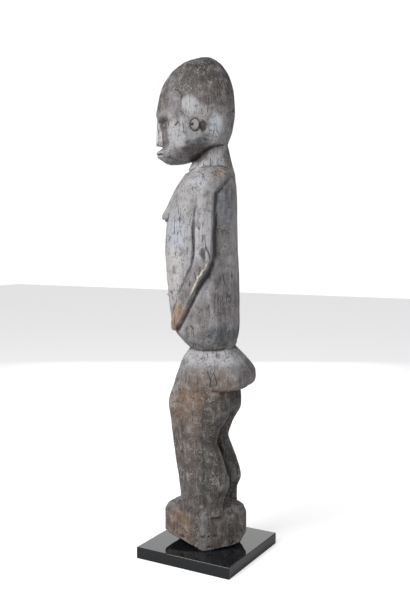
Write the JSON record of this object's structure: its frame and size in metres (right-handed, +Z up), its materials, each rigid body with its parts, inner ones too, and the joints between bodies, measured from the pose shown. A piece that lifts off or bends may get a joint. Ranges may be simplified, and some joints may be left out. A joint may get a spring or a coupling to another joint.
{
  "type": "carved wooden female figure on a display plate",
  "caption": "Tall carved wooden female shrine figure with domed head, arms carved along the body and bent legs, fixed on a thin square display plate.",
  "frame": {"origin": "centre of the display plate's underside, on the surface that it stands on", "axes": "+Z up; the figure's feet and foot block face -Y, its left hand is towards +X, and the plate's edges run along X and Y; the trunk and head turn towards +X as they rise"},
  "size_m": [0.18, 0.18, 0.848],
  "materials": {
    "plate": "polished glossy black, mirror-like top, sharp edges with a small bevel",
    "wood": "old weathered hardwood with a dry silvery grey patina, adze facets, drying cracks and brown wear"
  },
  "bodies": {
    "root": {"display_plate": "plate", "carved_figure": "wood"}
  },
  "joints": []
}
